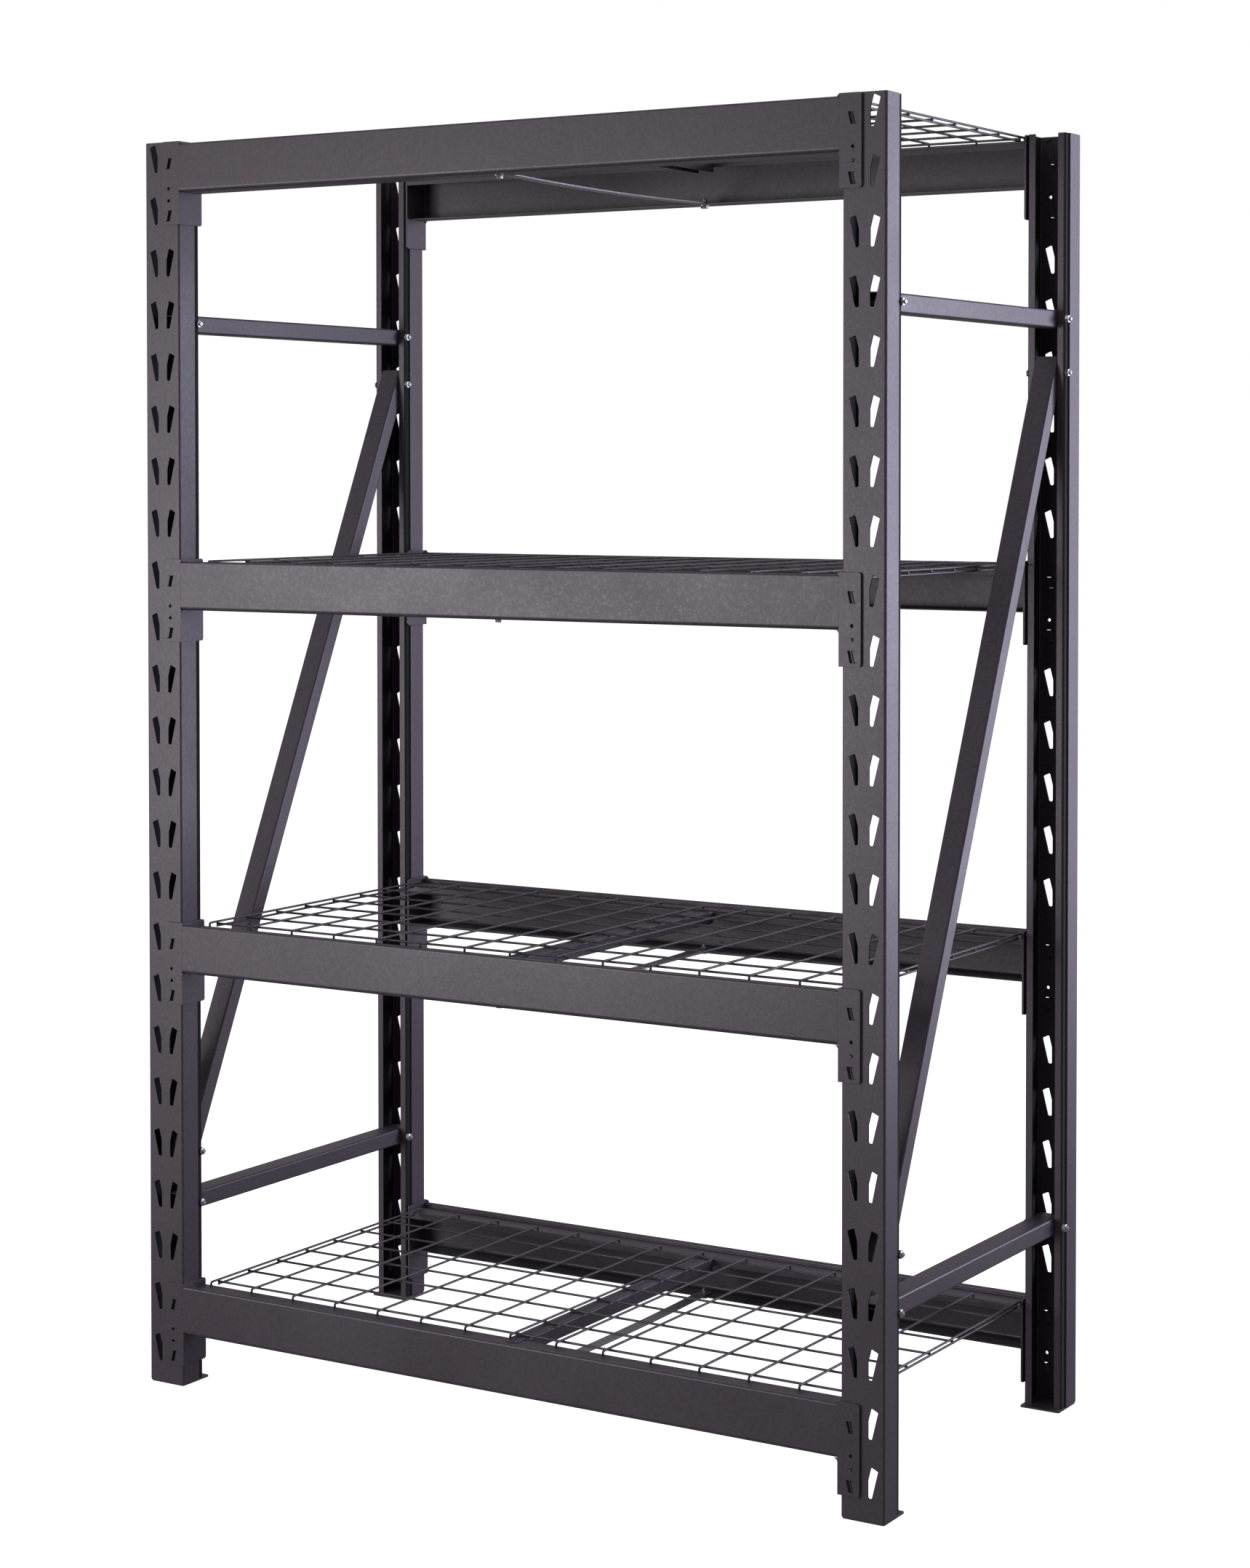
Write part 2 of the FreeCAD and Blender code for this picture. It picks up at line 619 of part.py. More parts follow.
def add_levels():
    connector = make_connector()
    beam = moved(make_beam(), 0, -beam_face, 0)
    deck, support, strap = make_deck(), make_support(), make_strap()
    tie_bolts, tie_nuts = [], []
    for number, height in enumerate(level_heights(), 1):
        name = "level_%d_" % number
        top = height - beam_below_connector
        front_left = moved(connector, -post_x, -half_depth, height)
        front_right = mirrored(front_left)
        parts[name + "connector_front_left"] = front_left
        parts[name + "connector_front_right"] = front_right
        parts[name + "connector_rear_right"] = turned_round(front_left)
        parts[name + "connector_rear_left"] = turned_round(front_right)
        parts[name + "beam_front"] = moved(beam, 0, 0, top)
        parts[name + "beam_rear"] = turned_round(moved(beam, 0, 0, top))
        parts[name + "wire_deck"] = moved(deck, deck_push, 0, top)
        parts[name + "centre_support"] = moved(support, 0, 0, top)
        parts[name + "tie_strap"] = moved(strap, 0, 0, top)
        for y in (tie_bolt_inset - beam_face, beam_face - tie_bolt_inset):
            tie_bolts.append(moved(make_tie_bolt(), 0, y, top - beam_height))
            tie_nuts.append(moved(make_tie_nut(), 0, y, top - beam_height))
    parts["tie_bolts"] = Part.makeCompound(tie_bolts)
    parts["tie_nuts"] = Part.makeCompound(tie_nuts)


add_posts()
add_side_frames()
add_levels()
os.makedirs("parts", exist_ok=True)
for name, shape in parts.items():
    shape.exportStep("parts/" + name + ".step")
print(len(parts), "nodes,", sum(len(shape.Solids) for shape in parts.values()), "solids")
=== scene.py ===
"""Looks for a boltless steel shelving unit: coated posts and beams, wire decks and zinc fasteners."""
import json
import math

import bmesh
import bpy
from bpy.props import FloatProperty, FloatVectorProperty, IntProperty, PointerProperty
from mathutils import Matrix, Vector


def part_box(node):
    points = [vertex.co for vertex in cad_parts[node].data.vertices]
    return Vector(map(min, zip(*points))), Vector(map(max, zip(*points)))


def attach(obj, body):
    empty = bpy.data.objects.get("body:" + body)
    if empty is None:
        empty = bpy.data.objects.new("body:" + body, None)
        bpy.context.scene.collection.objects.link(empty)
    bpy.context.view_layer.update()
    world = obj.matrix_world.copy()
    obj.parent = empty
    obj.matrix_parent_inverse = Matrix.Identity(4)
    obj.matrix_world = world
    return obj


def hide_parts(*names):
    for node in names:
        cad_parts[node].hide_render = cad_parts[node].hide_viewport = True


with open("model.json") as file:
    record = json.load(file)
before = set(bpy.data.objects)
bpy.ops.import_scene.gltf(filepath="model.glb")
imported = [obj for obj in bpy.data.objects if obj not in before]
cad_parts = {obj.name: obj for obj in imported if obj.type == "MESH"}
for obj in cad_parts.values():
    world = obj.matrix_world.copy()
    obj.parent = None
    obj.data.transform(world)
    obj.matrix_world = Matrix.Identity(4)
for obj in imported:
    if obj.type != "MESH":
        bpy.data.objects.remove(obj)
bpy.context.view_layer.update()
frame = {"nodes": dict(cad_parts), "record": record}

bl_info = {
    "name": "Boltless Shelving",
    "version": (1, 0, 0),
    "blender": (4, 5, 0),
    "location": "View3D > Sidebar > Shelving",
    "description": "Finishes a slotted steel shelving unit and builds its decks, fasteners and welds",
    "category": "Object",
}

NODES = frame["nodes"]
BODIES = frame["record"]["behaviour"]["bodies"]
NODE_BODY = {node: body for body, nodes in BODIES.items() for node in nodes}
FRAME_BODY = NODE_BODY["post_front_left"]
DECKS = sorted(node for node in NODES if node.endswith("wire_deck"))
SIDES = ("left", "right")

MM = 0.001
# Painted shade on the posts: a near-black colour that stands in for shade starts past the step in their
# sides, and behind their slotted face.
POST_STEP = 36.5 * MM
POST_WEB = 2 * MM
PAINTED_SHADE_FADE = 1 * MM
# Painted shade: the posts' legs and insides are also made this matt, so that they read as dark as shade.
PAINTED_SHADE_ROUGHNESS = 0.9
# The ends of the wires stand just clear of the ledge, on which the centre supports' ends lie.
FOOT_CLEARANCE = 0.3 * MM
SUPPORT_SHEET = 1.2 * MM
BEAM_SHEET = 1.5 * MM
# Points nearer to each other than this belong to one bolt.
BOLT_GAP = 30 * MM
# How far one part of a fastener runs into the next.
SUNK = 0.5 * MM
# Faces round each turned shape, and the sharpest edge that is still shaded smooth.
WIRE_SIDES = 12
HEX_SIDES = 36
HEAD_SIDES = 28
BOLT_SIDES = 20
TIE_BOLT_SIDES = 16
SMOOTH_ANGLE = math.radians(35.0)

WHITE = (1.0, 1.0, 1.0, 1.0)
SKY_TINT = (1.0, 0.955, 1.0, 1.0)
# In metres: the floor ends far behind the unit, and the camera sees past its end.
FLOOR_RADIUS = 60.0
CAMERA_REACH = 200.0


def level_of(node):
    """The level that a node belongs to, such as level_1."""
    return "_".join(node.split("_")[:2])


LEDGE_TOP = {level_of(node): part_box(node)[1].z - SUPPORT_SHEET + FOOT_CLEARANCE
             for node in NODES if node.endswith("centre_support")}


def length(name, description, default):
    return FloatProperty(name=name, description=description, default=default, unit="LENGTH", precision=5)


def colour(name, description, default):
    return FloatVectorProperty(name=name, description=description, default=default, subtype="COLOR",
                               min=0.0, max=1.0)


def whole_number(name, description, default):
    return IntProperty(name=name, description=description, default=default, min=2)


def amount(name, description, default, unit="NONE"):
    return FloatProperty(name=name, description=description, default=default, min=0.0, unit=unit)


class ShelvingCoatSettings(bpy.types.PropertyGroup):
    """Powder coat on the frame, the levels and the wires, and the painted shade on the posts' legs and
    insides.
    """
    body: colour("Coat", "Colour of the powder coat", (0.047, 0.035, 0.049))
    fleck: colour("Fleck", "Lighter colour on the crests of the coat's texture", (0.085, 0.068, 0.092))
    pit: colour("Pit", "Darker colour in the hollows of the coat's texture", (0.026, 0.019, 0.027))
    steel: colour("Bare steel", "Colour where the coat is rubbed thin along edges", (0.16, 0.155, 0.17))
    # Painted shade: a near-black colour on the posts' bolted legs and insides that stands in for shade.
    leg: colour("Painted leg shade", "Colour of the posts' bolted legs and insides", (0.003, 0.003, 0.004))
    wire: colour("Wire coat", "Colour of the coat on the wires", (0.02, 0.018, 0.02))
    grain: amount("Grain", "Texture crests per metre", 520.0)
    roughness: amount("Roughness", "How matt the coat is", 0.42)
    edge: length("Edge radius", "Rounding of the sheet's cut edges", 0.7 * MM)
    wear: amount("Edge wear", "How much of the edges is rubbed", 0.5)


class ShelvingMetalSettings(bpy.types.PropertyGroup):
    """Bare metals."""
    zinc: colour("Zinc", "Colour of plated fasteners", (0.6, 0.61, 0.64))
    strap: colour("Galvanised", "Colour of the tie straps", (0.4, 0.4, 0.42))


class ShelvingDeckSettings(bpy.types.PropertyGroup):
    """Sizes of the welded wire decks."""
    wire: length("Wire", "Wire diameter", 3.4 * MM)
    long_wires: whole_number("Long wires", "Wires that run front to rear", 15)
    cross_wires: whole_number("Cross wires", "Wires that run side to side", 8)
    pitch_x: length("Long pitch", "Between the wires that run front to rear", 76.2 * MM)
    pitch_y: length("Cross pitch", "Between the wires that run side to side", 70.4 * MM)
    tail: length("Tail", "How far ends stand past the last crossing", 1.6 * MM)
    sink: length("Weld sink", "How far crossing wires melt together", 0.3 * MM)
    bend: length("Bend", "Radius of the turned-down ends", 2.6 * MM)
    nugget: length("Weld", "Radius of the weld at each crossing", 2.1 * MM)


class ShelvingFastenerSettings(bpy.types.PropertyGroup):
    """Sizes of the bolts and nuts."""
    bolt: length("Brace bolt", "Diameter of the brace bolts", 6.0 * MM)
    bolt_end: length("Bolt end", "Thread showing past the nut", 3.2 * MM)
    head: length("Head", "Diameter of the low round heads", 10.0 * MM)
    head_height: length("Head height", "Height of the round heads", 2.8 * MM)
    nut_width: length("Nut width", "Across the flats of the nut", 10.0 * MM)
    nut_height: length("Nut height", "Height of the nut", 5.2 * MM)
    pitch: length("Thread pitch", "Distance between threads", 1.0 * MM)
    tie_bolt: length("Tie bolt", "Diameter of the tie bolts", 5.0 * MM)
    tie_washer: length("Tie flange", "Diameter of the flange under the heads", 16.0 * MM)
    tie_washer_height: length("Tie flange height", "Thickness of that flange", 1.2 * MM)
    tie_head: length("Tie head", "Across the flats of the tie bolts' heads", 10.0 * MM)
    tie_head_height: length("Tie head height", "Height of the heads with their flange", 5.0 * MM)
    tie_nut: length("Tie nut", "Across the flats of the tie nuts", 8.0 * MM)
    tie_nut_height: length("Tie nut height", "Height of the tie nuts", 4.0 * MM)
    tie_stack: length("Tie stack", "Beam and strap between the tie bolts' heads and nuts", 3.5 * MM)
    tie_bolt_end: length("Tie bolt end", "Thread showing past the tie nuts", 3.0 * MM)
    tie_pitch: length("Tie thread pitch", "Distance between the tie bolts' threads", 0.8 * MM)
    weld: length("Weld bead", "Radius of the beads between beam and connector", 1.5 * MM)
    weld_step: length("Weld step", "Distance from bead to bead", 1.9 * MM)
    weld_low: length("Weld bottom", "From the beam's bottom to the lowest bead", 4.0 * MM)
    weld_high: length("Weld top", "From the highest bead to the beam's top", 11.0 * MM)


class ShelvingStageSettings(bpy.types.PropertyGroup):
    """Floor, light and camera."""
    floor: colour("Floor", "Colour of the floor", (0.85, 0.85, 0.85))
    glow: amount("Floor glow", "How brightly the floor shines of itself, like a lit sweep", 0.85)
    sky: amount("Sky", "Strength of the light from above and around", 0.36)
    ground: amount("Ground", "Strength of the light from below", 0.17)
    key: amount("Key", "Power of the lamp behind on the right", 76.0, "POWER")
    fill: amount("Fill", "Power of the lamp in front on the left", 54.0, "POWER")
    top: amount("Top", "Power of the overhead lamp", 14.0, "POWER")
    eye: FloatVectorProperty(name="Camera", description="Where the camera stands", subtype="TRANSLATION",
                             default=(2.37603, -3.76947, 1.34760))
    turn: FloatProperty(name="Turn", description="Turn of the camera about the vertical", subtype="ANGLE",
                        default=0.5456835)
    dip: FloatProperty(name="Dip", description="How far the camera looks down", subtype="ANGLE",
                       default=0.0259603)
    lens: amount("Lens", "Focal length of the camera", 70.32, "CAMERA")
    sensor: amount("Sensor", "Width of the camera's sensor", 36.0, "CAMERA")
    shift: FloatVectorProperty(name="Shift", description="Shift of the view across and up, in its widths",
                               size=2, default=(-0.0214, -0.1486))


# --- Node helpers ---------------------------------------------------------------------------
class Tree:
    """A node tree with short calls for nodes, sockets and links."""

    def __init__(self, tree):
        self.tree = tree

    def node(self, kind, **settings):
        """Add a node with its options."""
        node = self.tree.nodes.new(kind)
        for key, value in settings.items():
            setattr(node, key, value)
        return node

    def feed(self, node, **inputs):
        """Set or link a node's inputs by name, with _ for each space."""
        for key, value in inputs.items():
            self.put(node.inputs[key.replace("_", " ")], value)
        return node

    def put(self, socket, value):
        """Link another node's socket, or set a plain value."""
        if isinstance(value, bpy.types.NodeSocket):
            self.tree.links.new(value, socket)
        else:
            socket.default_value = value

    def math(self, operation, *values):
        node = self.node("ShaderNodeMath", operation=operation)
        for socket, value in zip(node.inputs, values):
            self.put(socket, value)
        return node.outputs[0]

    def vector(self, x=0.0, y=0.0, z=0.0):
        node = self.node("ShaderNodeCombineXYZ")
        for socket, value in zip(node.inputs, (x, y, z)):
            self.put(socket, value)
        return node.outputs[0]

    def blend(self, factor, first, second):
        node = self.node("ShaderNodeMix", data_type="RGBA")
        self.put(node.inputs["Factor"], factor)
        self.put(node.inputs[6], first)
        self.put(node.inputs[7], second)
        return node.outputs[2]

    def ramp(self, value, low, high, start=0.0, end=1.0):
        """Run from start to end as the value runs from low to high."""
        node = self.node("ShaderNodeMapRange")
        for socket, number in zip(node.inputs, (value, low, high, start, end)):
            self.put(socket, number)
        return node.outputs[0]

    def noise(self, place, scale, detail=2.0):
        node = self.node("ShaderNodeTexNoise")
        self.feed(node, Vector=place, Scale=scale, Detail=detail)
        return node.outputs["Fac"]


def socket(tree, name, kind, default=None, out=False):
    """Add a named input or output to a node group."""
    in_out = "OUTPUT" if out else "INPUT"
    made = tree.interface.new_socket(name, in_out=in_out, socket_type="NodeSocket" + kind)
    if default is not None:
        made.default_value = default
    return made


def rgba(value):
    return (value[0], value[1], value[2], 1.0)


# --- Shared effects -------------------------------------------------------------------------
def coat_group():
    """Powder coat: fine texture, broad variation and a slightly uneven sheen."""
    if "Powder coat" in bpy.data.node_groups:
        return bpy.data.node_groups["Powder coat"]
    tree = bpy.data.node_groups.new("Powder coat", "ShaderNodeTree")
    for name in ("Coat", "Fleck", "Pit"):
        socket(tree, name, "Color")
    socket(tree, "Grain", "Float", 520.0)
    socket(tree, "Roughness", "Float", 0.42)
    for name, kind in (("Color", "Color"), ("Roughness", "Float"), ("Height", "Float")):
        socket(tree, name, kind, out=True)
    t = Tree(tree)
    given = t.node("NodeGroupInput").outputs
    place = t.node("ShaderNodeTexCoord").outputs["Object"]
    fine = t.noise(place, given["Grain"], 1.0)
    coarse_grain = t.math("MULTIPLY", given["Grain"], 0.36)
    coarse = t.noise(place, coarse_grain, 2.0)
    broad = t.noise(place, 5.5, 3.0)
    texture = t.math("ADD", t.math("MULTIPLY", fine, 0.45), t.math("MULTIPLY", coarse, 0.55))
    crests = t.ramp(texture, 0.5, 0.66)
    hollows = t.ramp(coarse, 0.48, 0.3)
    shade = t.blend(t.math("MULTIPLY", hollows, 0.45), given["Coat"], given["Pit"])
    shade = t.blend(t.math("MULTIPLY", crests, 0.42), shade, given["Fleck"])
    patch = t.ramp(broad, 0.35, 0.65)
    tinted = t.blend(t.math("MULTIPLY", patch, 0.16), shade, given["Fleck"])
    sheen = t.math("ADD", given["Roughness"], t.ramp(broad, 0.3, 0.7, -0.035, 0.05))
    sheen = t.math("SUBTRACT", sheen, t.math("MULTIPLY", crests, 0.07))
    height = t.math("ADD", fine, t.math("MULTIPLY", coarse, 1.4))
    end = t.node("NodeGroupOutput")
    t.feed(end, Color=tinted, Roughness=sheen, Height=height)
    return tree


def edge_group():
    """Edge wear: a mask along edges, broken up by noise, and a normal that rounds them."""
    if "Edge wear" in bpy.data.node_groups:
        return bpy.data.node_groups["Edge wear"]
    tree = bpy.data.node_groups.new("Edge wear", "ShaderNodeTree")
    socket(tree, "Radius", "Float", 0.7 * MM)
    socket(tree, "Amount", "Float", 0.5)
    socket(tree, "Mask", "Float", out=True)
    socket(tree, "Normal", "Vector", out=True)
    t = Tree(tree)
    given = t.node("NodeGroupInput").outputs
    bevel = t.node("ShaderNodeBevel", samples=4)
    t.feed(bevel, Radius=given["Radius"])
    true_normal = t.node("ShaderNodeNewGeometry").outputs["True Normal"]
    dot = t.node("ShaderNodeVectorMath", operation="DOT_PRODUCT")
    t.put(dot.inputs[0], bevel.outputs[0])
    t.put(dot.inputs[1], true_normal)
    edge = t.ramp(dot.outputs["Value"], 0.985, 0.84)
    place = t.node("ShaderNodeTexCoord").outputs["Object"]
    broken = t.ramp(t.noise(place, 70.0, 4.0), 0.42, 0.62)
    mask = t.math("MULTIPLY", t.math("MULTIPLY", edge, broken), given["Amount"])
    end = t.node("NodeGroupOutput")
    t.feed(end, Mask=mask, Normal=bevel.outputs[0])
    return tree


def new_material(name):
    """A material with its node helper and its shader."""
    material = bpy.data.materials.new(name)
    material.use_nodes = True
    tree = Tree(material.node_tree)
    shader = material.node_tree.nodes["Principled BSDF"]
    return material, tree, shader


def grouped(tree, group, **inputs):
    """Place a node group and return its outputs."""
    node = tree.node("ShaderNodeGroup", node_tree=group)
    return tree.feed(node, **inputs).outputs


def painted_shade_mask_group():
    """A mask for painted shade over the flanks of the posts' legs, past the step, and over the walls inside
    the posts.

    The four posts mirror each other, so one post's box serves them all.
    """
    tree = bpy.data.node_groups.new("Painted shade on legs and insides", "ShaderNodeTree")
    socket(tree, "Mask", "Float", out=True)
    t = Tree(tree)
    low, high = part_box("post_rear_right")
    face = high.y
    place = t.node("ShaderNodeSeparateXYZ")
    t.put(place.inputs[0], t.node("ShaderNodeTexCoord").outputs["Object"])
    facing = t.node("ShaderNodeSeparateXYZ")
    t.put(facing.inputs[0], t.node("ShaderNodeNewGeometry").outputs["True Normal"])
    out = t.math("ABSOLUTE", place.outputs["Y"])
    past_step = t.ramp(out, face - POST_STEP + PAINTED_SHADE_FADE, face - POST_STEP)
    sideways = t.ramp(t.math("ABSOLUTE", facing.outputs["X"]), 0.3, 0.6)
    beside = t.math("SUBTRACT", t.math("ABSOLUTE", place.outputs["X"]), (low.x + high.x) / 2)
    side = t.math("MULTIPLY", t.math("SIGN", place.outputs["X"]), t.math("SIGN", beside))
    inwards = t.ramp(t.math("MULTIPLY", facing.outputs["X"], side), -0.3, -0.6)
    behind_web = t.ramp(out, face - POST_WEB, face - POST_WEB - PAINTED_SHADE_FADE)
    inside = t.math("MULTIPLY", inwards, behind_web)
    legs = t.math("MULTIPLY", past_step, sideways)
    t.feed(t.node("NodeGroupOutput"), Mask=t.math("MAXIMUM", legs, inside))
    return tree


def frame_coat():
    """The coat that braces, foot plates, beams, connectors, supports and welds share."""
    return coat_material("frame_coat", bpy.context.scene.shelving_coat.body)


def post_material():
    """The frame's coat, with painted shade on the posts' bolted legs and insides: a near-black colour and a
    matt sheen that stand in for shade.
    """
    if "post_coat" in bpy.data.materials:
        return bpy.data.materials["post_coat"]
    coat = bpy.context.scene.shelving_coat
    material = coat_material("post_coat", coat.body)
    t = Tree(material.node_tree)
    shader = material.node_tree.nodes["Principled BSDF"]
    # Painted shade: the mask blends in the near-black leg colour and raises the roughness, so the legs and
    # insides read as shade.
    mask = grouped(t, painted_shade_mask_group())["Mask"]
    tint = shader.inputs["Base Color"].links[0].from_socket
    sheen = shader.inputs["Roughness"].links[0].from_socket
    duller = t.math("MULTIPLY", mask, t.math("SUBTRACT", PAINTED_SHADE_ROUGHNESS, sheen))
    t.feed(shader, Base_Color=t.blend(mask, tint, rgba(coat.leg)), Roughness=t.math("ADD", sheen, duller))
    return material


def coat_material(name, base, roughness_shift=0.0, bump=0.09):
    """Textured powder coat over steel, rubbed a little along its edges."""
    if name in bpy.data.materials:
        return bpy.data.materials[name]
    coat = bpy.context.scene.shelving_coat
    material, t, shader = new_material(name)
    skin = grouped(t, coat_group(), Coat=rgba(base), Fleck=rgba(coat.fleck), Pit=rgba(coat.pit),
                   Grain=coat.grain, Roughness=coat.roughness + roughness_shift)
    edges = grouped(t, edge_group(), Radius=coat.edge, Amount=coat.wear)
    relief = t.node("ShaderNodeBump")
    t.feed(relief, Strength=bump, Distance=0.5 * MM, Height=skin["Height"], Normal=edges["Normal"])
    worn = t.blend(edges["Mask"], skin["Color"], rgba(coat.steel))
    t.feed(shader, Base_Color=worn, Roughness=skin["Roughness"], Normal=relief.outputs[0])
    shader.inputs["Specular IOR Level"].default_value = 0.62
    return material


def zinc_material():
    """Bright zinc plate with faint clouding and turning marks."""
    if "zinc_plate" in bpy.data.materials:
        return bpy.data.materials["zinc_plate"]
    metal = bpy.context.scene.shelving_metal
    material, t, shader = new_material("zinc_plate")
    place = t.node("ShaderNodeTexCoord").outputs["Object"]
    cloud = t.noise(place, 240.0, 4.0)
    fine = t.noise(place, 1500.0, 2.0)
    tint = t.blend(t.ramp(cloud, 0.35, 0.65), rgba(metal.zinc), rgba([part * 0.8 for part in metal.zinc]))
    edges = grouped(t, edge_group(), Radius=0.4 * MM, Amount=1.0)
    relief = t.node("ShaderNodeBump")
    t.feed(relief, Strength=0.12, Distance=0.2 * MM, Height=fine, Normal=edges["Normal"])
    t.feed(shader, Base_Color=tint, Roughness=t.ramp(cloud, 0.3, 0.7, 0.24, 0.38), Normal=relief.outputs[0])
    shader.inputs["Metallic"].default_value = 1.0
    return material


def galvanised_material():
    """Dull galvanised strip with soft spangle and rolling streaks."""
    if "galvanised_strip" in bpy.data.materials:
        return bpy.data.materials["galvanised_strip"]
    metal = bpy.context.scene.shelving_metal
    material, t, shader = new_material("galvanised_strip")
    place = t.node("ShaderNodeTexCoord").outputs["Object"]
    spangle = t.node("ShaderNodeTexVoronoi")
    t.feed(spangle, Vector=place, Scale=160.0)
    stretch = t.node("ShaderNodeMapping")
    t.feed(stretch, Vector=place, Scale=(1.0, 0.03, 1.0))
    streak = t.noise(stretch.outputs[0], 420.0, 3.0)
    flowers = t.math("MULTIPLY", spangle.outputs["Distance"], 0.4)
    mixed = t.math("ADD", flowers, t.math("MULTIPLY", streak, 0.7))
    dark = [part * 0.68 for part in metal.strap]
    tint = t.blend(t.ramp(mixed, 0.3, 0.75), rgba(dark), rgba(metal.strap))
    edges = grouped(t, edge_group(), Radius=0.5 * MM, Amount=1.0)
    t.feed(shader, Base_Color=tint, Roughness=t.ramp(mixed, 0.3, 0.8, 0.5, 0.36), Normal=edges["Normal"])
    shader.inputs["Metallic"].default_value = 0.85
    return material


def dress(names, material):
    """Give CAD nodes a new finish."""
    for name in names:
        mesh = NODES[name].data
        mesh.materials.clear()
        mesh.materials.append(material)


# --- Geometry helpers -----------------------------------------------------------------------
def new_object(name, mesh):
    made = bpy.data.objects.new(name, mesh)
    bpy.context.scene.collection.objects.link(made)
    return made


def points_mesh(name, points, edges=()):
    mesh = bpy.data.meshes.new(name)
    mesh.from_pydata([tuple(point) for point in points], list(edges), [])
    return mesh


def turned(bm, rings, sides):
    """Skin rings about the X axis. A ring is an x and a radius; either may be a list, a value a side."""
    rows = []
    for along, radius in rings:
        row = []
        for i in range(sides):
            angle = 2 * math.pi * i / sides
            x = along[i] if isinstance(along, list) else along
            r = radius[i] if isinstance(radius, list) else radius
            row.append(bm.verts.new((x, r * math.cos(angle), r * math.sin(angle))))
        rows.append(row)
    for first, second in zip(rows, rows[1:]):
        for i in range(sides):
            j = (i + 1) % sides
            bm.faces.new((first[i], first[j], second[j], second[i]))
    bm.faces.new(rows[0][::-1])
    bm.faces.new(rows[-1])


def hexagon_rings(low, high, width, chamfered_low=False):
    """Rings of a hexagonal body along X with its outer corners chamfered to a cone."""
    flat = width / 2
    out = []
    for i in range(HEX_SIDES):
        angle = (2 * math.pi * i / HEX_SIDES) % (math.pi / 3) - math.pi / 6
        out.append(flat / math.cos(angle))
    drop = [(r - flat * 0.96) * 0.5 for r in out]
    crown = flat * 0.95
    top = [([high - d for d in drop], out), (high, crown)]
    if chamfered_low:
        return [(low, crown), ([low + d for d in drop], out)] + top
    return [(low, out)] + top


def thread_rings(low, high, diameter, pitch):
    """Rings of a threaded end with a small lead-in chamfer."""
    radius = diameter / 2
    root = radius * 0.9
    lead = pitch * 0.4
    rings = []
    count = max(2, int((high - low) / pitch))
    step = (high - low - lead) / count
    for i in range(count):
        rings += [(low + i * step, root), (low + (i + 0.5) * step, radius)]
    return rings + [(high - lead, radius * 0.92), (high, radius * 0.8)]


def finish_mesh(bm, name):
    """A plain mesh with outward faces, shaded smooth up to its sharp edges."""
    bmesh.ops.recalc_face_normals(bm, faces=bm.faces)
    for face in bm.faces:
        face.smooth = True
    for edge in bm.edges:
        edge.smooth = len(edge.link_faces) == 2 and edge.calc_face_angle(0.0) < SMOOTH_ANGLE
    mesh = bpy.data.meshes.new(name)
    bm.to_mesh(mesh)
    bm.free()
    return mesh


def applied(name, source, tree, inputs, body, replaced=()):
    """Run a geometry tree on an object, keep its result as a plain mesh and ride it on its body."""
    maker = new_object(name + "_maker", source)
    modifier = maker.modifiers.new("Build", "NODES")
    modifier.node_group = tree
    for item in tree.interface.items_tree:
        if item.item_type == "SOCKET" and item.in_out == "INPUT" and item.name in inputs:
            modifier[item.identifier] = inputs[item.name]
    bpy.context.view_layer.update()
    mesh = bpy.data.meshes.new_from_object(maker.evaluated_get(bpy.context.evaluated_depsgraph_get()))
    if not mesh.polygons:
        raise RuntimeError(name + " came out empty")
    mesh.name = name
    maker.modifiers.remove(modifier)
    bpy.data.objects.remove(maker)
    piece = new_object(name, mesh)
    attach(piece, body)
    if replaced:
        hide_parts(*replaced)
    return piece


def geometry_tree(name, inputs):
    """A geometry tree with named inputs; returns it with its helper and its input sockets."""
    tree = bpy.data.node_groups.new(name, "GeometryNodeTree")
    socket(tree, "Geometry", "Geometry")
    for label, kind in inputs:
        socket(tree, label, kind)
    socket(tree, "Geometry", "Geometry", out=True)
    t = Tree(tree)
    return tree, t, t.node("NodeGroupInput").outputs


def close_tree(t, geometry, material):
    """Realised instances and the finish, as every tree ends."""
    real = t.feed(t.node("GeometryNodeRealizeInstances"), Geometry=geometry)
    painted = t.feed(t.node("GeometryNodeSetMaterial"), Geometry=real.outputs[0], Material=material)
    t.feed(t.node("NodeGroupOutput"), Geometry=painted.outputs[0])


def smoothed(t, mesh):
    node = t.node("GeometryNodeSetShadeSmooth")
    t.put(node.inputs[0], mesh)
    return node.outputs[0]


def swept(t, curve, radius):
    """A round wire along a curve, closed at its ends."""
    profile = t.node("GeometryNodeCurvePrimitiveCircle", mode="RADIUS")
    t.feed(profile, Resolution=WIRE_SIDES, Radius=radius)
    sweep = t.node("GeometryNodeCurveToMesh")
    t.feed(sweep, Curve=curve, Profile_Curve=profile.outputs[0], Fill_Caps=True)
    return sweep.outputs[0]


def line_of_points(t, count, start, offset):
    node = t.node("GeometryNodeMeshLine", mode="OFFSET")
    t.feed(node, Count=count, Start_Location=start, Offset=offset)
    return node.outputs[0]


def placed(t, points, instance):
    node = t.node("GeometryNodeInstanceOnPoints")
    t.feed(node, Points=points, Instance=instance)
    return node.outputs[0]


def half_span(t, count, pitch):
    """Half the length of a row of wires."""
    return t.math("MULTIPLY", t.math("MULTIPLY", t.math("SUBTRACT", count, 1.0), pitch), 0.5)


